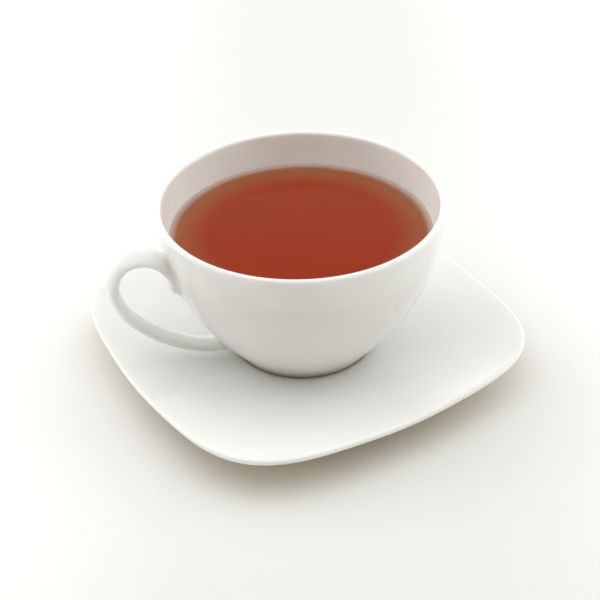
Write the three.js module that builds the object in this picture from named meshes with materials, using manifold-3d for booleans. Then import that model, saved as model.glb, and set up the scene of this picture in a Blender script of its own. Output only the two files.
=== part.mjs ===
// A porcelain cup of tea on its rounded-square saucer.
// Sizes are in millimetres with +Z up. The origin is on the table, under the middle of the saucer,
// whose sides run along X and Y. The cup stands on the saucer's well, and the tea fills the cup.
import * as THREE from "three";
import { mergeVertices } from "three/addons/utils/BufferGeometryUtils.js";
import Module from "manifold-3d";

const wasm = await Module();
wasm.setup();

// Clearance between pieces that touch, then steps around every turned piece and along its curves
const GAP = 0.3;
const SEGMENTS = 64;
const STEPS = { underside: 4, border: 7, lip: 4, wall: 10, inside: 8, fillet: 3, core: 11 };

// Saucer: sizes along the middle of a side, plus what changes towards the corners
const SAUCER_HALF_WIDTH = 70;
const SAUCER_SQUARENESS = 3.55;
const SIDE_EASE = 0.012;
const WELL_RADIUS = 31;
const WELL_HEIGHT = 7;
const SAUCER_RISE = 8.1;
const SAUCER_BEND = 1.7;
const CORNER_LIFT = 1.5;
const SAUCER_THICKNESS = 3.6;
const SAUCER_LIP_RADIUS = 1.1;
const SAUCER_FOOT = { inner: 34, outer: 40, draft: 0.8, blend: 4 };

// Cup: a footed bowl, sizes from the plane that its foot stands on
const CUP_HEIGHT = 58.9;
const RIM_RADIUS = 51;
const LIP_RADIUS = 1.2;
const WALL_AT_BASE = 3.6;
const BOWL_BASE = { radius: 27.3, height: 2.5, slope: 48, pull: 19 };
const BOWL_TOP = { slope: 84, pull: 29 };
const FLOOR_HEIGHT = 5.6;
const FLOOR_FILLET = 6;
const FLOOR_END = 0.12;
const CUP_FOOT = { inner: 22.6, outer: 26.3, neck: 25.1, recess: 2.3, draft: 0.5, shoulder: 0.6 };
const TEA_LEVEL = 45.8;

// Handle: a flat loop in one upright plane, seen as an outer edge and the edge of its finger hole.
// Each pair is [distance from the cup's axis, height above the cup's foot]. Both edges run from the
// upper root, which spreads down the wall, to the lower root beside the foot.
const HANDLE_AZIMUTH = 167.5;
const HANDLE_OUTER = [
  [43, 41], [47.5, 45.4], [51.5, 48.2], [56, 50.4], [61.4, 51], [67.6, 48.4], [71, 41.5], [70.8, 34],
  [66.6, 24.6], [57.8, 15], [48.8, 8.8], [39, 4.6], [28, 3],
];
const HANDLE_HOLE = [
  [42, 30.8], [48.6, 32.4], [50, 38.2], [54.6, 44.6], [60.6, 46.6], [64.8, 44.6], [66.5, 40.5], [66.3, 34.8],
  [62.8, 27], [54.8, 18.2], [46.4, 12], [37.8, 7.7], [28, 6.2],
];
const HANDLE_WIDTH = { top: 13.4, bottom: 8.6 };
const HANDLE_SIDES = 14;
const HANDLE_STEPS = 34;
const ROOT_DEPTH = 1.3;

const porcelain = new THREE.MeshStandardMaterial({ color: 0xf3f2ed, roughness: 0.12, metalness: 0 });
const brewedTea = new THREE.MeshStandardMaterial({ color: 0x9d4630, roughness: 0.04, metalness: 0 });

const lerp = THREE.MathUtils.lerp;
const radians = THREE.MathUtils.degToRad;
const point = (radius, height) => new THREE.Vector2(radius, height);

// A turned piece from its half section, which starts and ends on the axis
function turned(section) {
  const geometry = new THREE.LatheGeometry(section, SEGMENTS);
  return geometry.rotateX(Math.PI / 2);
}

// Points of an arc of the half section, from one angle to another in degrees
function arc(center, radius, from, to, steps) {
  return Array.from({ length: steps + 1 }, (_, i) => {
    const angle = radians(lerp(from, to, i / steps));
    return point(center.x + radius * Math.cos(angle), center.y + radius * Math.sin(angle));
  });
}

// Moves every vertex of a geometry to where the given function puts it
function reshape(geometry, place) {
  const positions = geometry.attributes.position;
  const vertex = new THREE.Vector3();
  for (let i = 0; i < positions.count; i++) {
    place(vertex.fromBufferAttribute(positions, i));
    positions.setXYZ(i, vertex.x, vertex.y, vertex.z);
  }
  return geometry;
}

// A closed solid: vertices that coincide are one, and triangles that shrink to a line are dropped
function solid(geometry) {
  geometry.deleteAttribute("normal");
  geometry.deleteAttribute("uv");
  const merged = mergeVertices(geometry, 1e-4);
  const corners = merged.index.array;
  const triangles = [];
  for (let i = 0; i < corners.length; i += 3) {
    const [a, b, c] = corners.slice(i, i + 3);
    if (a !== b && b !== c && c !== a) {
      triangles.push(a, b, c);
    }
  }
  return new wasm.Manifold(new wasm.Mesh({
    numProp: 3,
    vertProperties: new Float32Array(merged.attributes.position.array),
    triVerts: new Uint32Array(triangles),
  }));
}

// A named piece, standing at a height above the table
function piece(name, shape, material, height) {
  const { vertProperties, triVerts } = shape.getMesh();
  const geometry = new THREE.BufferGeometry();
  geometry.setAttribute("position", new THREE.BufferAttribute(vertProperties, 3));
  geometry.setIndex(new THREE.BufferAttribute(triVerts, 1));
  geometry.computeVertexNormals();
  const mesh = new THREE.Mesh(geometry, material);
  mesh.name = name;
  mesh.position.z = height;
  return mesh;
}

// Saucer: a flat well, a slope that steepens towards a round lip, and a foot ring under the well.
// It is turned first, then its outline is drawn out to a superellipse with slightly raised corners.
function saucerTop(radius) {
  const slope = Math.max(0, (radius - WELL_RADIUS) / (SAUCER_HALF_WIDTH - WELL_RADIUS));
  return WELL_HEIGHT + SAUCER_RISE * slope ** SAUCER_BEND;
}

function saucerSection() {
  const lip = point(SAUCER_HALF_WIDTH - SAUCER_LIP_RADIUS, 0);
  lip.y = saucerTop(lip.x) - SAUCER_LIP_RADIUS;
  const under = (radius) => {
    const way = THREE.MathUtils.smoothstep(radius, SAUCER_FOOT.outer, lip.x);
    return saucerTop(radius) - lerp(SAUCER_THICKNESS, 2 * SAUCER_LIP_RADIUS, way);
  };
  const stations = (from, to, steps) => Array.from({ length: steps }, (_, i) => lerp(from, to, i / steps));
  const at = (height) => (radius) => point(radius, height(radius));
  const recess = WELL_HEIGHT - SAUCER_THICKNESS;
  return [
    point(0, recess),
    point(SAUCER_FOOT.inner - SAUCER_FOOT.draft, recess),
    point(SAUCER_FOOT.inner, 0),
    point(SAUCER_FOOT.outer, 0),
    point(SAUCER_FOOT.outer + SAUCER_FOOT.draft, under(SAUCER_FOOT.outer)),
    ...stations(SAUCER_FOOT.outer + SAUCER_FOOT.blend, lip.x, STEPS.underside).map(at(under)),
    ...arc(lip, SAUCER_LIP_RADIUS, -90, 90, STEPS.lip),
    ...stations(lip.x, WELL_RADIUS, STEPS.border).slice(1).map(at(saucerTop)),
    point(WELL_RADIUS, WELL_HEIGHT),
    point(0, WELL_HEIGHT),
  ];
}

function drawOutToSquare(vertex) {
  const angle = Math.atan2(vertex.y, vertex.x);
  const radius = Math.hypot(vertex.x, vertex.y);
  const power = SAUCER_SQUARENESS;
  const square = (Math.abs(Math.cos(angle)) ** power + Math.abs(Math.sin(angle)) ** power) ** (-1 / power);
  const ease = 1 - SIDE_EASE * Math.sin(4 * angle) ** 2;
  const way = THREE.MathUtils.smoothstep(radius, SAUCER_FOOT.outer + SAUCER_FOOT.draft, SAUCER_HALF_WIDTH);
  const stretch = lerp(1, square * ease, way);
  vertex.x *= stretch;
  vertex.y *= stretch;
  vertex.z += CORNER_LIFT * Math.sin(2 * angle) ** 2 * way;
}

function saucer() {
  return solid(reshape(turned(saucerSection()), drawOutToSquare));
}

// Bowl: one curve from above the foot to the lip is the outer wall, and the inner wall follows it at
// the wall's thickness, down to a fillet round the flat floor
const away = (slope, pull) => point(pull * Math.cos(radians(slope)), pull * Math.sin(radians(slope)));
const towardsLip = away(BOWL_TOP.slope + 90, LIP_RADIUS);
const wallFoot = point(BOWL_BASE.radius, BOWL_BASE.height);
const wallTop = point(RIM_RADIUS, CUP_HEIGHT - LIP_RADIUS - towardsLip.y);
const lipCenter = wallTop.clone().add(towardsLip);
const outerWall = new THREE.CubicBezierCurve(
  wallFoot,
  wallFoot.clone().add(away(BOWL_BASE.slope, BOWL_BASE.pull)),
  wallTop.clone().sub(away(BOWL_TOP.slope, BOWL_TOP.pull)),
  wallTop,
);

// A point of the wall, a share of the way up and a depth in from its outer face
function wallPoint(share, depth) {
  const tangent = outerWall.getTangent(share);
  return outerWall.getPoint(share).add(point(-tangent.y, tangent.x).multiplyScalar(depth));
}

const wallThickness = (share) => lerp(WALL_AT_BASE, 2 * LIP_RADIUS, share);

const innerFace = (share, clearance) => wallPoint(share, wallThickness(share) + clearance);

// The inner wall from the middle of the floor to a share of the way up, at a clearance in from its face
function innerWall(clearance, top, steps) {
  const start = innerFace(FLOOR_END, clearance);
  const tangent = outerWall.getTangent(FLOOR_END);
  const floor = FLOOR_HEIGHT + clearance;
  const bend = point(start.x - (start.y - floor) * tangent.x / tangent.y, floor);
  const fillet = new THREE.QuadraticBezierCurve(point(bend.x - FLOOR_FILLET, floor), bend, start);
  const shares = Array.from({ length: steps }, (_, i) => lerp(FLOOR_END, top, (i + 1) / steps));
  const rise = shares.map((share) => innerFace(share, clearance));
  return [point(0, floor), ...fillet.getPoints(STEPS.fillet), ...rise];
}

function bowl() {
  const inside = innerWall(0, 1, STEPS.inside);
  const lip = arc(lipCenter, LIP_RADIUS, BOWL_TOP.slope - 90, BOWL_TOP.slope + 90, STEPS.lip);
  return solid(turned([
    point(0, CUP_FOOT.recess),
    point(CUP_FOOT.inner, CUP_FOOT.recess),
    point(CUP_FOOT.inner + CUP_FOOT.draft, 0),
    point(CUP_FOOT.outer, 0),
    point(CUP_FOOT.neck, BOWL_BASE.height - CUP_FOOT.shoulder),
    ...outerWall.getPoints(STEPS.wall),
    ...lip.slice(1, -1),
    ...inside.reverse(),
  ]));
}

// Handle: an ellipse whose thickness spans from the hole's edge to the outer edge, carried along both
function handleLoop() {
  const edge = (places) => new THREE.SplineCurve(places.map(([radius, height]) => point(radius, height)));
  const outer = edge(HANDLE_OUTER);
  const hole = edge(HANDLE_HOLE);
  const shape = new THREE.CylinderGeometry(1, 1, 1, HANDLE_SIDES, HANDLE_STEPS);
  reshape(shape, (vertex) => {
    const share = 0.5 + vertex.y;
    const far = outer.getPoint(share);
    const near = hole.getPoint(share);
    const across = lerp(near.x, far.x, (1 + vertex.x) / 2);
    const up = lerp(near.y, far.y, (1 + vertex.x) / 2);
    const width = lerp(HANDLE_WIDTH.top, HANDLE_WIDTH.bottom, share);
    vertex.set(across, vertex.z * width / 2, up);
  });
  return solid(shape.rotateZ(radians(HANDLE_AZIMUTH)));
}

// What the bowl holds within its outer face, which the handle's roots don't reach into
function bowlCore() {
  const face = Array.from({ length: STEPS.core + 1 }, (_, i) => wallPoint(i / STEPS.core, ROOT_DEPTH));
  return solid(turned([point(0, face[0].y), ...face, point(0, face.at(-1).y)]));
}

function cup() {
  return bowl().add(handleLoop().subtract(bowlCore()));
}

// Tea: fills the bowl from the floor to its level, which the inner wall reaches at one share of its way
function tea() {
  let below = FLOOR_END;
  let above = 1;
  while (above - below > 1e-6) {
    const middle = (below + above) / 2;
    if (innerFace(middle, GAP).y < TEA_LEVEL) {
      below = middle;
    } else {
      above = middle;
    }
  }
  return solid(turned([...innerWall(GAP, below, STEPS.inside), point(0, TEA_LEVEL)]));
}

const cupOfTea = new THREE.Group();
const cupStand = WELL_HEIGHT + GAP;
cupOfTea.add(
  piece("saucer", saucer(), porcelain, 0),
  piece("cup", cup(), porcelain, cupStand),
  piece("tea", tea(), brewedTea, cupStand),
);

export default cupOfTea;
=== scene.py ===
"""A porcelain cup of brewed tea on its rounded-square saucer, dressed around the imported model."""

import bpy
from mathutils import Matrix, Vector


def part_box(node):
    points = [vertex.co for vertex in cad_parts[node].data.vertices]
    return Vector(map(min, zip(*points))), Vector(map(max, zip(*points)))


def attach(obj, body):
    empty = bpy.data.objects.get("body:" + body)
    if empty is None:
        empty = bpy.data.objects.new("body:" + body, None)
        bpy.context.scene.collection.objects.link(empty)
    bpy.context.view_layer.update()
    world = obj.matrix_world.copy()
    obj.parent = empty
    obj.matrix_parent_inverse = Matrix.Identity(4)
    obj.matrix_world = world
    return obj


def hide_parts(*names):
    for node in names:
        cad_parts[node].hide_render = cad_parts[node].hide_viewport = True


bl_info = {
    "name": "Cup of Tea",
    "version": (1, 0, 0),
    "blender": (4, 5, 0),
    "location": "View3D > Sidebar > Cup of Tea",
    "description": "Builds a porcelain cup of tea on a rounded-square saucer, with its stage",
    "category": "Add Mesh",
}

import math
from functools import partial

import bpy
import numpy as np
from bpy.props import FloatProperty, FloatVectorProperty, PointerProperty
from mathutils import Matrix, Vector

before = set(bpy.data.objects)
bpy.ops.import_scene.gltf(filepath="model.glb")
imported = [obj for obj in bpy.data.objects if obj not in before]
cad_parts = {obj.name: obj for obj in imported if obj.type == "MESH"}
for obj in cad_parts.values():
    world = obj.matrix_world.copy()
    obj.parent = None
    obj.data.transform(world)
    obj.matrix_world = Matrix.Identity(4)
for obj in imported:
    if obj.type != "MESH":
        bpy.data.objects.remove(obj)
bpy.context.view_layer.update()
CUP_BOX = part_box("cup")

MM = 0.001

# Directions: up, and toward the photo's camera and across its view of the ware.
CAMERA_TURN = math.radians(30.77)
UP = (0.0, 0.0, 1.0)
TOWARD_CAMERA = (-math.sin(CAMERA_TURN), -math.cos(CAMERA_TURN), 0.0)
ASIDE = (math.cos(CAMERA_TURN), -math.sin(CAMERA_TURN), 0.0)

# The handle's two edges in the plane through the cup's axis, in mm: distance from the axis, height.
HANDLE_OUTER = np.array([
    [43, 41], [47.5, 45.4], [51.5, 48.2], [56, 50.4], [61.4, 51], [67.6, 48.4], [71, 41.5],
    [70.8, 34], [66.6, 24.6], [57.8, 15], [48.8, 8.8], [39, 4.6], [28, 3],
])
HANDLE_HOLE = np.array([
    [42, 30.8], [48.6, 32.4], [50, 38.2], [54.6, 44.6], [60.6, 46.6], [64.8, 44.6], [66.5, 40.5],
    [66.3, 34.8], [62.8, 27], [54.8, 18.2], [46.4, 12], [37.8, 7.7], [28, 6.2],
])

# Fits: the gap under the cup's foot, and how deep the tea and the strap's ends lie in the wall.
STAND_GAP = 0.02 * MM
TEA_OVERLAP = 0.2 * MM
STRAP_DEPTH = 1.2 * MM

# Unglazed faces: the cup's foot up to this height, and the saucer's faces that look down this steeply.
BARE_HEIGHT = 1.6 * MM
BARE_FACING = -0.75

# Detail: points round each piece, along the strap and down the inner wall, and the innermost ring's radius.
SAUCER_AROUND = 320
CUP_AROUND = 256
TEA_AROUND = 224
STRAP_AROUND = 72
STRAP_STEPS = 220
WALL_STEPS = 200
POLE_RADIUS = 1.5 * MM

# The noise seldom leaves this range.
NOISE_LOW = 0.3
NOISE_HIGH = 0.7

# Node settings that are used more than once; out names the output.
EASED = {"interpolation_type": "SMOOTHSTEP"}
COLOURS = {"data_type": "RGBA", "out": "Result"}
MINUS = {"operation": "SUBTRACT"}
TIMES = {"operation": "MULTIPLY"}
TIMES_PLUS = {"operation": "MULTIPLY_ADD"}
UNSIGNED = {"operation": "ABSOLUTE"}


def linear(hex_colour):
    """An sRGB hex colour such as "#f4f3ee" as linear red, green and blue."""
    channels = [int(hex_colour[i:i + 2], 16) / 255 for i in (1, 3, 5)]
    return tuple(c / 12.92 if c <= 0.04045 else ((c + 0.055) / 1.055) ** 2.4 for c in channels)


def length(name, description, millimetres):
    """A length a user may change, given in millimetres and kept in metres."""
    return FloatProperty(name=name, description=description, default=millimetres * MM,
                         min=0.0, unit="LENGTH", subtype="DISTANCE", precision=5)


def angle(name, description, degrees):
    """An angle a user may change, given in degrees and kept in radians."""
    return FloatProperty(name=name, description=description, default=math.radians(degrees),
                         unit="ROTATION", subtype="ANGLE")


def ratio(name, description, value):
    """A plain number a user may change."""
    return FloatProperty(name=name, description=description, default=value, min=0.0)


def colour(name, description, hex_colour):
    """A colour a user may change, given as sRGB hex and kept linear."""
    return FloatVectorProperty(name=name, description=description, default=linear(hex_colour),
                               size=3, min=0.0, max=1.0, subtype="COLOR")


class SaucerSettings(bpy.types.PropertyGroup):
    """Sizes of the saucer."""
    half_width: length("Half Width", "From the middle to the middle of a side", 70)
    squareness: ratio("Squareness", "Exponent of the rounded-square outline", 3.55)
    side_ease: ratio("Side Ease", "How far the outline draws in beside each corner", 0.012)
    well_radius: length("Well Radius", "Radius of the level middle", 31)
    well_height: length("Well Height", "Height of the level middle above the table", 7)
    rise: length("Rise", "How far the border rises above the well", 8.1)
    bend: ratio("Bend", "Exponent of the border's rise", 1.7)
    corner_lift: length("Corner Lift", "How far the corners rise above the sides", 1.5)
    thickness: length("Thickness", "Thickness over the foot ring", 3.6)
    lip_radius: length("Lip Radius", "Radius of the rounded edge", 1.1)
    foot_inner: length("Foot Inner", "Inner radius of the foot ring", 34)
    foot_outer: length("Foot Outer", "Outer radius of the foot ring", 40)


class CupSettings(bpy.types.PropertyGroup):
    """Sizes of the cup and its handle."""
    height: length("Height", "From the foot to the rim", 58.9)
    rim_radius: length("Rim Radius", "Outer radius of the rim", 51)
    lip_radius: length("Lip Radius", "Radius of the rounded lip", 1.2)
    wall_at_base: length("Wall at Base", "Thickness of the wall at the base", 3.6)
    base_radius: length("Base Radius", "Where the outer wall begins", 27.3)
    base_height: length("Base Height", "How high the outer wall begins", 2.5)
    base_slope: angle("Base Slope", "Slope of the outer wall at the base", 48)
    base_pull: length("Base Pull", "How far the base slope carries on", 19)
    top_slope: angle("Top Slope", "Slope of the outer wall at the rim", 84)
    top_pull: length("Top Pull", "How far the rim slope carries down", 29)
    floor_height: length("Floor Height", "Height of the inner floor above the foot", 5.6)
    floor_fillet: length("Floor Fillet", "Length of the curve from floor to wall", 6)
    foot_inner: length("Foot Inner", "Inner radius of the foot ring", 22.6)
    foot_outer: length("Foot Outer", "Outer radius of the foot ring", 26.3)
    foot_neck: length("Foot Neck", "Radius where the foot ring meets the bowl", 25.1)
    foot_recess: length("Foot Recess", "Depth of the recess inside the foot ring", 2.3)
    handle_azimuth: angle("Handle Azimuth", "Where the handle stands round the cup", 167.5)
    handle_top: length("Handle Top Width", "Width of the strap at the upper root", 13.4)
    handle_bottom: length("Handle Bottom Width", "Width of the strap at the lower root", 8.6)
    root_fillet: length("Root Fillet", "Radius where the strap runs into the wall", 2.4)


class TeaSettings(bpy.types.PropertyGroup):
    """Size and colour of the drink."""
    level: length("Level", "Height of the surface above the cup's foot", 45.8)
    meniscus: length("Meniscus", "How far the drink climbs the wall", 0.7)
    creep: length("Creep", "How far from the wall the climb begins to show", 2.2)
    film_width: length("Film Width", "How far from the wall the thin film reaches", 3.2)
    shoal_start: length("Shoal Start", "Distance from the wall where the drink is shallow", 2)
    shoal_end: length("Shoal End", "Distance from the wall where the drink is deep", 15)
    shore: colour("Shore", "Colour where the drink is a thin film on the wall", "#f4e7da")
    shallow: colour("Shallow", "Colour where the drink is a few millimetres deep", "#c4784a")
    body: colour("Body", "Colour where the drink is deep", "#c4481d")
    hue: colour("Hue", "Colour left after a deep layer", "#f6ae59")
    strength: ratio("Strength", "How quickly the drink darkens with depth, per metre", 50)


class FinishSettings(bpy.types.PropertyGroup):
    """Colours of the porcelain, and the painted shade where the cup stands."""
    glaze: colour("Glaze", "Colour of the glazed porcelain", "#f0f1ee")
    glaze_shade: colour("Glaze Shade", "Its faintly deeper tone", "#ededea")
    biscuit: colour("Biscuit", "Colour of the bare porcelain", "#e6dac0")
    # Painted shade: a dark tone for the thin band of the cup's foot where it stands on the saucer, in place
    # of the shade there.
    rubbed: colour("Contact Shade", "Colour of the bare porcelain where the cup stands", "#8d7f6e")


class StageSettings(bpy.types.PropertyGroup):
    """The table's colours, the light's brightness and the camera's place."""
    floor: colour("Floor", "Colour of the table round the ware", "#e9eae6")
    # Painted light and shade: the table is painted paler at both sides and deeper and warmer well in front,
    # in place of uneven light.
    floor_side: colour("Side Floor", "Colour of the table at both sides", "#f9f9f7")
    floor_far: colour("Far Floor", "Colour of the table well in front of the ware", "#c4c0b6")
    side_middle: length("Side Middle", "How far to the right the table's side tones are centred", 15)
    side_start: length("Side Start", "Distance to either side where the table begins to pale", 30)
    side_end: length("Side End", "Distance to either side where the table is palest", 130)
    far_start: length("Far Start", "Distance in front where the table begins to deepen", 70)
    far_end: length("Far End", "Distance in front where the table is deepest", 330)
    overhead: ratio("Overhead", "Brightness straight above", 1.6)
    behind: ratio("Behind", "Brightness low behind the ware", 2.1)
    beside: ratio("Beside", "Brightness at both sides", 0.9)
    right_glow: ratio("Right Glow", "Added brightness on the right", 0.75)
    left_glow: ratio("Left Glow", "Added brightness at the back on the left", 1.2)
    dim_light: colour("Dim Light", "Colour of the light where it is dimmest", "#ffe3c0")
    distance: length("Distance", "From the middle of the saucer's well to the camera", 501.57)
    rise: angle("Rise", "How high the camera stands, seen from the well", 36.851)
    tilt: angle("Tilt", "How far the camera looks down", 35.351)
    pan: angle("Pan", "How far the camera turns to the right", -0.151)
    roll: angle("Roll", "How far the camera is held askew", -1.692)
    lens: FloatProperty(name="Lens", description="Focal length on a film 36 mm wide",
                        default=80.38, unit="CAMERA")


# Curves and surfaces


def mix(a, b, share):
    """Straight blend from a to b."""
    return a + (b - a) * share


def smoothstep(x, low, high):
    """Cubic ease from 0 at low to 1 at high."""
    t = np.clip((x - low) / (high - low), 0.0, 1.0)
    return t * t * (3 - 2 * t)


def bezier(p0, p1, p2, p3, t):
    """Points of a cubic Bezier curve and its unit directions at the parameters t."""
    t = np.asarray(t)[:, None]
    point = (1 - t) ** 3 * p0 + 3 * (1 - t) ** 2 * t * p1 + 3 * (1 - t) * t ** 2 * p2 + t ** 3 * p3
    run = (1 - t) ** 2 * (p1 - p0) + 2 * (1 - t) * t * (p2 - p1) + t ** 2 * (p3 - p2)
    return point, run / np.linalg.norm(run, axis=1, keepdims=True)


def catmull_rom(points, t):
    """Points on the uniform Catmull-Rom curve through the given points, for t from 0 to 1."""
    last = len(points) - 1
    place = np.clip(t * last, 0, last - 1e-9)
    i = np.floor(place).astype(int)
    w = (place - i)[:, None]
    before, here = points[np.maximum(i - 1, 0)], points[i]
    after, beyond = points[i + 1], points[np.minimum(i + 2, last)]
    leave, arrive = (after - before) / 2, (beyond - here) / 2
    return ((2 * here - 2 * after + leave + arrive) * w ** 3
            + (3 * after - 3 * here - 2 * leave - arrive) * w ** 2 + leave * w + here)


def rounded(corners, radii, steps=7):
    """A line through the corners, each one replaced by a parabola that starts and ends its radius away."""
    corners = np.asarray(corners, dtype=float)
    t = np.linspace(0, 1, steps)[:, None]
    parts = [corners[:1]]
    for before, here, after, radius in zip(corners[:-2], corners[1:-1], corners[2:], radii):
        start = here + (before - here) * radius / np.linalg.norm(before - here)
        end = here + (after - here) * radius / np.linalg.norm(after - here)
        parts.append((1 - t) ** 2 * start + 2 * t * (1 - t) * here + t ** 2 * end)
    return np.concatenate(parts + [corners[-1:]])


def turned(profile, around):
    """Rings of points: each (distance from the axis, height) of the profile carried once round Z."""
    theta = np.linspace(0, 2 * np.pi, around, endpoint=False)
    r, z = profile[:, :1], profile[:, 1:]
    return np.stack([r * np.cos(theta), r * np.sin(theta), z + 0 * theta], axis=2)


def closed_skin(rings):
    """Vertices and faces of a row of rings, with each end closed onto the middle of its ring.

    Face k * n + i joins points i and i + 1 of rings k and k + 1; faces are turned to point outwards."""
    count, n = rings.shape[:2]
    vertices = np.concatenate([rings.reshape(-1, 3), rings[:1].mean(axis=1), rings[-1:].mean(axis=1)])
    i = np.arange(n)
    j = (i + 1) % n
    k = np.arange(count - 1)[:, None] * n
    quads = np.stack([k + i, k + j, k + n + j, k + n + i], axis=2).reshape(-1, 4)
    first, last = count * n, (count - 1) * n
    fans = np.concatenate([np.stack([j, i, i * 0 + first], axis=1),
                           np.stack([last + i, last + j, i * 0 + first + 1], axis=1)])
    halves = np.concatenate([quads[:, :3], quads[:, [0, 2, 3]], fans])
    a, b, c = (vertices[halves[:, m]] for m in range(3))
    if np.einsum("ij,ij->", a, np.cross(b, c)) < 0:
        quads, fans = quads[:, ::-1], fans[:, ::-1]
    return vertices, quads, fans


def make_piece(name, skin, materials, bare=None):
    """One smooth mesh object from a closed skin; bare picks the faces of the second material.

    It is given the middle and the outward direction of every face."""
    vertices, quads, fans = skin
    mesh = bpy.data.meshes.new(name)
    mesh.from_pydata(vertices.tolist(), [], quads.tolist() + fans.tolist())
    count = len(mesh.polygons)
    mesh.polygons.foreach_set("use_smooth", np.ones(count, dtype=bool))
    for material in materials:
        mesh.materials.append(material)
    if bare is not None:
        middles, outward = np.empty((2, count * 3), dtype=np.float32)
        mesh.polygons.foreach_get("center", middles)
        mesh.polygons.foreach_get("normal", outward)
        picked = bare(middles.reshape(-1, 3), outward.reshape(-1, 3))
        mesh.polygons.foreach_set("material_index", picked.astype(np.int32))
    mesh.update()
    if mesh.validate():
        raise RuntimeError(f"{name}: the surface did not close properly")
    piece = bpy.data.objects.new(name, mesh)
    bpy.context.scene.collection.objects.link(piece)
    return piece


def join_body(piece, other):
    """Unites two overlapping closed pieces into one body, so that light spreads through both alike."""
    union = piece.modifiers.new("union", "BOOLEAN")
    union.operation, union.solver, union.object = "UNION", "EXACT", other
    whole = bpy.data.meshes.new_from_object(piece.evaluated_get(bpy.context.evaluated_depsgraph_get()))
    if len(whole.polygons) <= len(piece.data.polygons):
        raise RuntimeError(f"{piece.name}: the pieces did not unite")
    piece.modifiers.clear()
    piece.data = whole
    bpy.data.objects.remove(other)


def take_place(piece, node):
    """Rides the piece on the body, in place of a solid of the frame."""
    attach(piece, "root")
    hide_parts(node)


# Materials


def add_node(tree, kind, inputs=(), out=0, **settings):
    """Adds a node with its settings and links, and returns one of its outputs.

    The inputs go by name, or in order where they are a tuple. Each is a value, a colour or the output of
    another node."""
    made = tree.nodes.new("ShaderNode" + kind)
    for key, value in settings.items():
        setattr(made, key, value)
    pairs = inputs.items() if isinstance(inputs, dict) else enumerate(inputs)
    for key, value in pairs:
        socket = made.inputs[key]
        if isinstance(value, bpy.types.NodeSocket):
            tree.links.new(value, socket)
        else:
            socket.default_value = (*value, 1.0) if socket.type == "RGBA" else value
    return made.outputs[out] if made.outputs else None


def fresh_nodes(owner):
    """Empties the node tree of a material or a world, and returns the function that adds nodes to it."""
    owner.use_nodes = True
    owner.node_tree.nodes.clear()
    return partial(add_node, owner.node_tree)


def along(add, direction):
    """How far a point, or a direction in the sky, reaches along the given direction: their dot product."""
    place = add("TexCoord", out="Object")
    return add("VectorMath", (place, direction), out="Value", operation="DOT_PRODUCT")


def mottle(add, size, low=0.0, high=1.0):
    """Soft clouds of the given real size in metres, spread between two values."""
    place = add("TexCoord", out="Object")
    clouds = add("TexNoise", {"Vector": place, "Scale": 1 / size, "Detail": 2.0}, out="Fac")
    return add("MapRange", (clouds, NOISE_LOW, NOISE_HIGH, low, high), **EASED)


def glazed_porcelain(finish):
    """Hard white glaze over a slightly translucent body: soft clear reflections and a slow ripple.

    The eye sees light that has spread a few millimetres through the body, under a glaze that ran."""
    material = bpy.data.materials.new("glazed_porcelain")
    add = fresh_nodes(material)
    tones = {"Factor": mottle(add, 22 * MM), "A": finish.glaze, "B": finish.glaze_shade}
    ripple = {"Height": mottle(add, 9 * MM), "Distance": 0.002 * MM, "Strength": 1.0}
    shader = add("BsdfPrincipled", {
        "Base Color": add("Mix", tones, **COLOURS),
        "Roughness": mottle(add, 6 * MM, 0.16, 0.22),
        "Normal": add("Bump", ripple),
        "IOR": 1.5,
        "Subsurface Weight": 1.0,
        "Subsurface Radius": (1.0, 1.0, 1.0),
        "Subsurface Scale": 2.3 * MM,
    })
    add("OutputMaterial", {"Surface": shader})
    return material


def bare_porcelain(finish):
    """Unglazed porcelain: dry, warm and sandy, with painted shade darkening a thin band where the cup stands
    on the saucer.

    Its grains are drawn at 0.4 mm, coarser than real ones, so that they show."""
    material = bpy.data.materials.new("bare_porcelain")
    add = fresh_nodes(material)
    above = add("Math", (along(add, UP), CUP_BOX[0].z), **MINUS)
    apart = add("Math", (above,), **UNSIGNED)
    # Painted shade: the bare porcelain darkens within a millimetre of the cup's standing height, where the
    # foot meets the saucer.
    band = add("MapRange", (apart, 0.2 * MM, 0.9 * MM, 1.0, 0.0), **EASED)
    darker = [0.9 * channel for channel in finish.biscuit]
    dry = {"Factor": mottle(add, 1.5 * MM), "A": finish.biscuit, "B": darker}
    tones = {"Factor": band, "A": add("Mix", dry, **COLOURS), "B": finish.rubbed}
    grain = {"Height": mottle(add, 0.4 * MM), "Distance": 0.03 * MM, "Strength": 1.0}
    shader = add("BsdfPrincipled", {
        "Base Color": add("Mix", tones, **COLOURS),
        "Roughness": mottle(add, 3 * MM, 0.5, 0.75),
        "Normal": add("Bump", grain),
    })
    add("OutputMaterial", {"Surface": shader})
    return material


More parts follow.
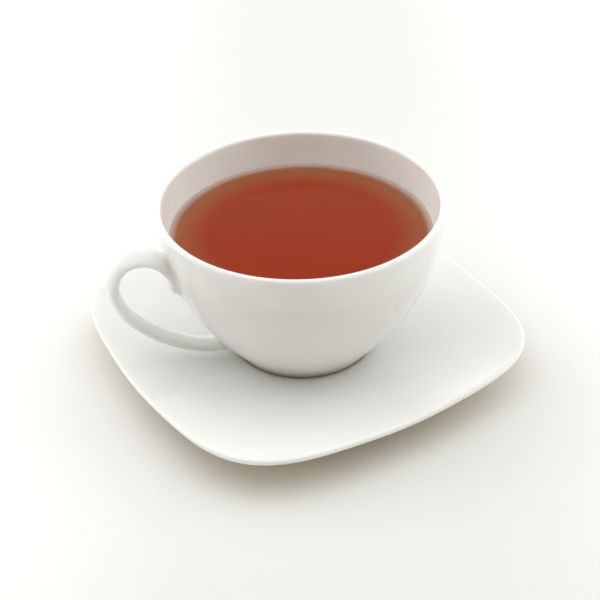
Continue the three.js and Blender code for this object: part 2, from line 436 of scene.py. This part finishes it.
def brewed_tea(tea, cup):
    """Clear red-brown drink with a still, wet surface: a pale film at the wall, tan where shallow, then deep.

    The tones follow the distance from the cup's axis, up to the radius where the drink meets the wall."""
    material = bpy.data.materials.new("brewed_tea")
    add = fresh_nodes(material)
    edge = wall_radius(inner_line(cup, WALL_STEPS), tea.level + tea.meniscus)
    flat = add("VectorMath", (add("TexCoord", out="Object"), (1, 1, 0)), **TIMES)
    radius = add("VectorMath", (flat,), out="Value", operation="LENGTH")
    film = add("MapRange", (radius, edge - tea.film_width, edge, 0.0, 1.0), **EASED)
    shoal = add("MapRange", (radius, edge - tea.shoal_end, edge - tea.shoal_start, 0.0, 1.0), **EASED)
    darker = [0.97 * channel for channel in tea.body]
    deep = {"Factor": mottle(add, 25 * MM), "A": tea.body, "B": darker}
    clear = {"Factor": shoal, "A": add("Mix", deep, **COLOURS), "B": tea.shallow}
    tones = {"Factor": film, "A": add("Mix", clear, **COLOURS), "B": tea.shore}
    swell = {"Height": mottle(add, 18 * MM), "Distance": 0.003 * MM, "Strength": 1.0}
    shader = add("BsdfPrincipled", {
        "Base Color": add("Mix", tones, **COLOURS),
        "Roughness": mottle(add, 14 * MM, 0.05, 0.08),
        "Normal": add("Bump", swell),
        "IOR": 1.33,
        "Transmission Weight": 0.6,
        "Specular Tint": (0.3, 0.3, 0.3),
    })
    depth = add("VolumeAbsorption", {"Color": tea.hue, "Density": tea.strength})
    add("OutputMaterial", {"Surface": shader, "Volume": depth})
    return material


def matt_paint(stage):
    """Matt white table paint: painted light pales both sides, painted shade deepens and warms it well in
    front.

    Its grain is drawn at 2 mm, coarser than a real one, so that it shows."""
    material = bpy.data.materials.new("matt_paint")
    add = fresh_nodes(material)
    # Painted light and shade: paler toward both sides and deeper well in front, standing in for uneven light
    # on the table.
    off_middle = add("Math", (along(add, ASIDE), stage.side_middle), **MINUS)
    aside = add("Math", (off_middle,), **UNSIGNED)
    side = add("MapRange", (aside, stage.side_start, stage.side_end, 0.0, 1.0), **EASED)
    far = add("MapRange", (along(add, TOWARD_CAMERA), stage.far_start, stage.far_end, 0.0, 1.0), **EASED)
    pale = {"Factor": side, "A": stage.floor, "B": stage.floor_side}
    tones = {"Factor": far, "A": add("Mix", pale, **COLOURS), "B": stage.floor_far}
    grain = {"Height": mottle(add, 2 * MM), "Distance": 0.01 * MM, "Strength": 1.0}
    shader = add("BsdfPrincipled", {
        "Base Color": add("Mix", tones, **COLOURS),
        "Roughness": mottle(add, 40 * MM, 0.7, 0.85),
        "Normal": add("Bump", grain),
        "Specular IOR Level": 0.2,
    })
    add("OutputMaterial", {"Surface": shader})
    return material


def porcelain(finish):
    """The glazed and the bare porcelain, each made the first time it is asked for."""
    makers = (glazed_porcelain, bare_porcelain)
    return [bpy.data.materials.get(make.__name__) or make(finish) for make in makers]


# Forms of the pieces


def saucer_section(saucer):
    """Half section of the saucer before it is drawn out to a square: underside, lip, then top to the axis.

    Past the well the top rises as the share of the border's width to the power of the bend. The underside
    lies a thickness below, which eases to twice the lip's radius at the edge. The lip is half a circle."""
    def top(r):
        share = np.clip((r - saucer.well_radius) / (saucer.half_width - saucer.well_radius), 0, 1)
        return saucer.well_height + saucer.rise * share ** saucer.bend

    lip_r = saucer.half_width - saucer.lip_radius
    lip_z = top(lip_r) - saucer.lip_radius
    recess = saucer.well_height - saucer.thickness
    r = np.linspace(saucer.foot_outer + 2 * MM, lip_r, 46)
    share = smoothstep(r, saucer.foot_outer, lip_r)
    under = np.column_stack([r, top(r) - mix(saucer.thickness, 2 * saucer.lip_radius, share)])
    # The foot ring's faces lean a little, and its corners are rounded.
    corners = [(POLE_RADIUS, recess), (saucer.foot_inner - 1 * MM, recess),
               (saucer.foot_inner + 0.3 * MM, 0), (saucer.foot_outer - 0.4 * MM, 0),
               (saucer.foot_outer + 0.4 * MM, under[0, 1]), under[0]]
    foot = rounded(corners, [1.4 * MM, 0.9 * MM, 0.9 * MM, 1.2 * MM])
    turn = np.linspace(-np.pi / 2, np.pi / 2, 15)[1:]
    circle = np.column_stack([np.cos(turn), np.sin(turn)])
    lip = np.array([lip_r, lip_z]) + saucer.lip_radius * circle
    border = np.linspace(lip_r, saucer.well_radius, 60)[1:]
    well = np.linspace(saucer.well_radius, POLE_RADIUS, 16)[1:]
    r = np.concatenate([border, well])
    return np.concatenate([foot, under[1:], lip, np.column_stack([r, top(r)])])


def saucer_rings(saucer):
    """The turned section with each radius stretched toward a superellipse and the corners lifted.

    Past the foot ring the radius grows by (|cos|^n + |sin|^n)^(-1/n), less a small ease beside the corners,
    and the corners rise as the square of the sine of twice the angle."""
    rings = turned(saucer_section(saucer), SAUCER_AROUND)
    r = np.hypot(rings[..., 0], rings[..., 1])
    theta = np.arctan2(rings[..., 1], rings[..., 0])
    n = saucer.squareness
    square = (np.abs(np.cos(theta)) ** n + np.abs(np.sin(theta)) ** n) ** (-1 / n)
    draw_in = 1 - saucer.side_ease * np.sin(4 * theta) ** 2
    way = smoothstep(r, saucer.foot_outer + 0.8 * MM, saucer.half_width)
    rings[..., :2] *= mix(1, square * draw_in, way)[..., None]
    rings[..., 2] += saucer.corner_lift * np.sin(2 * theta) ** 2 * way
    return rings


def outer_wall(cup, t):
    """Points and unit directions of the cup's outer wall, foot to rim: a cubic curve with set end slopes."""
    p0 = np.array([cup.base_radius, cup.base_height])
    p3 = np.array([cup.rim_radius, cup.height - cup.lip_radius * (1 + math.cos(cup.top_slope))])
    p1 = p0 + cup.base_pull * np.array([math.cos(cup.base_slope), math.sin(cup.base_slope)])
    p2 = p3 - cup.top_pull * np.array([math.cos(cup.top_slope), math.sin(cup.top_slope)])
    return bezier(p0, p1, p2, p3, t)


def inner_line(cup, steps, clearance=0.0):
    """The inside of the bowl from the rim down to the axis.

    It is the outer wall, down to its lowest share, moved inward by a thickness that grows evenly toward the
    base, then a parabola, then the level floor. The clearance moves it all further into the bowl."""
    lowest = 0.12
    t = np.linspace(1, lowest, steps)
    point, run = outer_wall(cup, t)
    inward = np.column_stack([-run[:, 1], run[:, 0]])
    wall = point + inward * (mix(cup.wall_at_base, 2 * cup.lip_radius, t) + clearance)[:, None]
    floor = cup.floor_height + clearance
    start, down = wall[-1], -run[-1]
    bend = start + down * (floor - start[1]) / down[1]
    end = bend - np.array([cup.floor_fillet, 0])
    u = np.linspace(0, 1, 16)[1:, None]
    curve = (1 - u) ** 2 * start + 2 * u * (1 - u) * bend + u ** 2 * end
    r = np.linspace(end[0], POLE_RADIUS, 10)[1:]
    return np.concatenate([wall, curve, np.column_stack([r, 0 * r + floor])])


def wall_radius(inside, height):
    """Radius at a height on the wall of an inside line with WALL_STEPS points, straight between them."""
    radii, heights = inside[:WALL_STEPS][::-1].T
    return float(np.interp(height, heights, radii))


def bowl_section(cup, drop):
    """Half section of the cup: recess, foot ring reaching down by drop, outer wall, lip, inside.

    The lip is half a circle that leaves the outer wall along its slope and meets the inside."""
    base = (cup.base_radius, cup.base_height)
    # The foot ring's faces lean in to the neck above it, and its corners are rounded.
    corners = [(POLE_RADIUS, cup.foot_recess), (cup.foot_inner - 0.3 * MM, cup.foot_recess),
               (cup.foot_inner + 0.5 * MM, -drop), (cup.foot_outer, -drop),
               (cup.foot_neck, cup.base_height - 0.5 * MM), base]
    foot = rounded(corners, [1.0 * MM, 0.5 * MM, 0.4 * MM, 0.6 * MM])
    wall, _ = outer_wall(cup, np.linspace(0, 1, 90))
    turn = cup.top_slope + np.linspace(-np.pi / 2, np.pi / 2, 21)[1:-1]
    middle = wall[-1] + cup.lip_radius * np.array([-math.sin(cup.top_slope), math.cos(cup.top_slope)])
    lip = middle + cup.lip_radius * np.column_stack([np.cos(turn), np.sin(turn)])
    return np.concatenate([foot[:-1], wall, lip, inner_line(cup, 70)])


def strap_rings(cup):
    """The handle's strap, standing over the X axis: an ellipse at each step between its two edge curves.

    The steps follow half a cosine wave, so they lie closest at both ends, and the width narrows with them."""
    share = 0.5 - 0.5 * np.cos(np.pi * np.linspace(0, 1, STRAP_STEPS))
    outer, hole = (catmull_rom(edge * MM, share) for edge in (HANDLE_OUTER, HANDLE_HOLE))
    turn = np.linspace(0, 2 * np.pi, STRAP_AROUND, endpoint=False)
    middle, half = (outer + hole) / 2, (outer - hole) / 2
    flat = middle[:, None, :] + half[:, None, :] * np.sin(turn)[None, :, None]
    breadth = mix(cup.handle_top, cup.handle_bottom, share)[:, None] / 2 * np.cos(turn)
    return np.stack([flat[..., 0], breadth, flat[..., 1]], axis=2)


def outward_normals(rings):
    """Unit directions out of a tube: the cross product of its steps along and around."""
    step = np.gradient(rings, axis=0)
    side = np.roll(rings, -1, axis=1) - np.roll(rings, 1, axis=1)
    normal = np.cross(step, side)
    normal /= np.linalg.norm(normal, axis=2, keepdims=True)
    return normal * np.sign(np.sum(normal * (rings - rings.mean(axis=1, keepdims=True))))


def handle_rings(cup):
    """The strap spread into a fillet where it meets the wall, and turned to its place round the cup.

    Within the fillet radius R of the wall the strap widens by R - sqrt(R^2 - (R - d)^2) at distance d, and
    what would lie deeper than the strap's depth stays at that depth inside the wall."""
    rings = strap_rings(cup)
    normal = outward_normals(rings)
    wall, run = outer_wall(cup, np.linspace(0, 1, 500))
    away = np.column_stack([run[:, 1], -run[:, 0]])
    r = np.hypot(rings[..., 0], rings[..., 1])
    gap = np.stack([r, rings[..., 2]], axis=2)[:, :, None, :] - wall
    nearest = np.argmin(np.sum(gap ** 2, axis=3), axis=2)
    gap = np.take_along_axis(gap, nearest[..., None, None], 2)[:, :, 0]
    away = away[nearest]
    distance = np.sum(gap * away, axis=2)
    out = np.stack([away[..., 0] * rings[..., 0] / r, away[..., 0] * rings[..., 1] / r, away[..., 1]], axis=2)
    slide = normal - np.sum(normal * out, axis=2, keepdims=True) * out
    slide /= np.linalg.norm(slide, axis=2, keepdims=True)
    fillet = cup.root_fillet
    near = np.clip(np.abs(distance) / fillet, 0, 1)
    spread = fillet * (1 - np.sign(distance) * np.sqrt(1 - (1 - near) ** 2))
    sunk = np.maximum(-STRAP_DEPTH - distance, 0)
    rings = rings + slide * spread[..., None] + out * sunk[..., None]

    cosine, sine = math.cos(cup.handle_azimuth), math.sin(cup.handle_azimuth)
    return np.stack([rings[..., 0] * cosine - rings[..., 1] * sine,
                     rings[..., 0] * sine + rings[..., 1] * cosine, rings[..., 2]], axis=2)


def tea_section(cup, tea):
    """Half section of the drink: just into the inner wall, with a surface that climbs it exponentially.

    The surface has its points closest at the wall, as a power of their count over the first stretch."""
    inside = inner_line(cup, WALL_STEPS, clearance=-TEA_OVERLAP)
    contact = tea.level + tea.meniscus
    wall_r = wall_radius(inside, contact)
    below = np.concatenate([inside[inside[:, 1] < contact][::-1], [[wall_r, contact]]])
    stretch = 14 * MM
    close = np.linspace(0, 1, 40)[1:] ** 1.6 * stretch
    reach = np.concatenate([close, np.linspace(stretch, wall_r - POLE_RADIUS, 22)[1:]])
    surface = np.column_stack([wall_r - reach, tea.level + tea.meniscus * np.exp(-reach / tea.creep)])
    return np.concatenate([below, surface])


# Operators


class CUPOFTEA_OT_saucer(bpy.types.Operator):
    """Makes the glazed saucer with its bare underside"""
    bl_idname = "cupoftea.saucer"
    bl_label = "Make Saucer"

    def execute(self, context):
        scene = context.scene
        skin = closed_skin(saucer_rings(scene.cupoftea_saucer))
        piece = make_piece("porcelain_saucer", skin, porcelain(scene.cupoftea_finish),
                           lambda middle, outward: outward[:, 2] < BARE_FACING)
        take_place(piece, "saucer")
        return {"FINISHED"}


class CUPOFTEA_OT_cup(bpy.types.Operator):
    """Makes the glazed cup with its handle and bare foot ring, standing in the saucer's well"""
    bl_idname = "cupoftea.cup"
    bl_label = "Make Cup"

    def execute(self, context):
        scene = context.scene
        cup = scene.cupoftea_cup
        materials = porcelain(scene.cupoftea_finish)
        stand = np.array([0, 0, CUP_BOX[0].z])
        drop = CUP_BOX[0].z - scene.cupoftea_saucer.well_height - STAND_GAP
        bare_below = stand[2] + BARE_HEIGHT
        bowl = closed_skin(turned(bowl_section(cup, drop), CUP_AROUND) + stand)
        piece = make_piece("porcelain_cup", bowl, materials,
                           lambda middle, outward: middle[:, 2] < bare_below)
        strap = make_piece("strap", closed_skin(handle_rings(cup) + stand), materials)
        join_body(piece, strap)
        take_place(piece, "cup")
        return {"FINISHED"}


class CUPOFTEA_OT_tea(bpy.types.Operator):
    """Fills the cup with tea up to its level"""
    bl_idname = "cupoftea.tea"
    bl_label = "Pour Tea"

    def execute(self, context):
        cup, tea = context.scene.cupoftea_cup, context.scene.cupoftea_tea
        stand = np.array([0, 0, CUP_BOX[0].z])
        skin = closed_skin(turned(tea_section(cup, tea), TEA_AROUND) + stand)
        piece = make_piece("tea_liquid", skin, [brewed_tea(tea, cup)])
        take_place(piece, "tea")
        return {"FINISHED"}


class CUPOFTEA_OT_stage(bpy.types.Operator):
    """Sets the table, the soft daylight and the camera"""
    bl_idname = "cupoftea.stage"
    bl_label = "Set Stage"

    def execute(self, context):
        scene = context.scene
        ahead = -Vector(TOWARD_CAMERA)
        right = Vector(ASIDE)
        self.set_table(scene)
        self.set_light(scene, right, ahead)
        self.set_camera(scene, right, ahead)
        scene.view_settings.view_transform = "Standard"
        return {"FINISHED"}

    def set_table(self, scene):
        """A level table under the object, 8 m wide."""
        reach = 4.0
        mesh = bpy.data.meshes.new("table")
        corners = np.array([(-1, -1, 0), (1, -1, 0), (1, 1, 0), (-1, 1, 0)]) * reach
        mesh.from_pydata(corners.tolist(), [], [(0, 1, 2, 3)])
        mesh.materials.append(matt_paint(scene.cupoftea_stage))
        table = bpy.data.objects.new("table", mesh)
        scene.collection.objects.link(table)

    def set_light(self, scene, right, ahead):
        """A soft dome whose brightness depends on direction alone, dim and faintly warm behind the camera.

        Up and sideways are the direction's own parts. Facing is its turn over the table, from -1 behind the
        camera to 1 behind the ware, and a number just over 1 keeps its divisor above zero."""
        stage = scene.cupoftea_stage
        world = bpy.data.worlds.new("soft_daylight")
        add = fresh_nodes(world)
        up, forward, sideways = (along(add, direction) for direction in (UP, ahead, right))
        level = add("Math", (1.0001, add("Math", (up, up), **TIMES)), **MINUS)
        facing = add("Math", (forward, add("Math", (level,), operation="SQRT")), operation="DIVIDE")

        # Low down: dark behind the camera and bright at the back, less so straight behind and at the horizon.
        back = add("MapRange", (facing, -0.65, 0.15, 0.0, stage.behind), **EASED)
        straight = add("MapRange", (facing, 0.3, 0.95, 1.0, 0.75), **EASED)
        horizon = add("MapRange", (up, 0.0, 0.2, 0.6, 1.0), **EASED)
        low = add("Math", (back, add("Math", (straight, horizon), **TIMES)), **TIMES)

        # Higher up: brightest at both sides, a little more at the back, with a broad glow on the right.
        aside = add("Math", (1.0, add("Math", (facing, facing), **TIMES)), **MINUS)
        sides = add("Math", (aside, stage.beside), **TIMES)
        glow = add("MapRange", (sideways, 0.1, 0.8, 0.3, stage.right_glow), **EASED)
        even = add("Math", (facing, 0.1, sides), **TIMES_PLUS)
        high = add("Math", (even, glow), operation="ADD")

        # One runs into the other, with a glow at the back on the left, and then into the cap overhead.
        left = add("MapRange", (sideways, -0.9, -0.2, stage.left_glow, 0.0), **EASED)
        rear = add("MapRange", (facing, 0.0, 0.6, 0.0, 1.0), **EASED)
        band = add("MapRange", (up, 0.2, 0.65, 1.0, 0.0), **EASED)
        cap = add("MapRange", (up, 0.7, 1.0, 0.0, 1.0), **EASED)
        body = add("Math", (band, add("Math", (low, high), **MINUS), high), **TIMES_PLUS)
        dome = add("Math", (left, rear, body), **TIMES_PLUS)
        brightness = add("Math", (cap, add("Math", (stage.overhead, dome), **MINUS), dome), **TIMES_PLUS)

        whiteness = add("MapRange", (brightness, 0.1, 0.8, 0.0, 1.0), **EASED)
        tones = {"Factor": whiteness, "A": stage.dim_light, "B": (1.0, 1.0, 1.0)}
        sky = add("Background", {"Color": add("Mix", tones, **COLOURS), "Strength": brightness})
        add("OutputWorld", {"Surface": sky})
        scene.world = world

    def set_camera(self, scene, right, ahead):
        """The photo's camera: about half a metre off, 37 degrees up, held with a slight roll."""
        stage = scene.cupoftea_stage
        up = Vector(UP)
        aim = up * scene.cupoftea_saucer.well_height
        place = aim + stage.distance * (up * math.sin(stage.rise) - ahead * math.cos(stage.rise))
        level = right * math.sin(stage.pan) + ahead * math.cos(stage.pan)
        sight = level * math.cos(stage.tilt) - up * math.sin(stage.tilt)
        beside = right * math.cos(stage.pan) - ahead * math.sin(stage.pan)
        over = beside.cross(sight)
        turned_x = beside * math.cos(stage.roll) + over * math.sin(stage.roll)
        turned_y = over * math.cos(stage.roll) - beside * math.sin(stage.roll)
        lens = bpy.data.cameras.new("camera")
        film_width = 36.0
        lens.lens, lens.sensor_width = stage.lens, film_width
        lens.clip_start, lens.clip_end = 0.01, 50.0
        camera = bpy.data.objects.new("camera", lens)
        camera.matrix_world = Matrix((turned_x, turned_y, -sight)).transposed().to_4x4()
        camera.location = place
        scene.collection.objects.link(camera)
        scene.camera = camera


class CUPOFTEA_PT_panel(bpy.types.Panel):
    """Lists the pieces in the 3D view's sidebar"""
    bl_idname = "CUPOFTEA_PT_panel"
    bl_label = "Cup of Tea"
    bl_space_type = "VIEW_3D"
    bl_region_type = "UI"
    bl_category = "Cup of Tea"

    def draw(self, context):
        for operator in OPERATORS:
            self.layout.operator(operator.bl_idname)
        for group in GROUPS:
            box = self.layout.box()
            settings = getattr(context.scene, group)
            for key in settings.__annotations__:
                box.prop(settings, key)


OPERATORS = (CUPOFTEA_OT_saucer, CUPOFTEA_OT_cup, CUPOFTEA_OT_tea, CUPOFTEA_OT_stage)
GROUPS = {
    "cupoftea_saucer": SaucerSettings,
    "cupoftea_cup": CupSettings,
    "cupoftea_tea": TeaSettings,
    "cupoftea_finish": FinishSettings,
    "cupoftea_stage": StageSettings,
}
CLASSES = (*GROUPS.values(), *OPERATORS, CUPOFTEA_PT_panel)


def register():
    """Adds the classes, and each group of settings to the scene."""
    for made in CLASSES:
        bpy.utils.register_class(made)
    for key, group in GROUPS.items():
        setattr(bpy.types.Scene, key, PointerProperty(type=group))


def unregister():
    """Removes the settings and the classes again."""
    for key in GROUPS:
        delattr(bpy.types.Scene, key)
    for made in reversed(CLASSES):
        bpy.utils.unregister_class(made)


def main():
    """Makes the pieces and the stage."""
    register()
    bpy.ops.cupoftea.saucer()
    bpy.ops.cupoftea.cup()
    bpy.ops.cupoftea.tea()
    bpy.ops.cupoftea.stage()


if __name__ == "__main__":
    main()
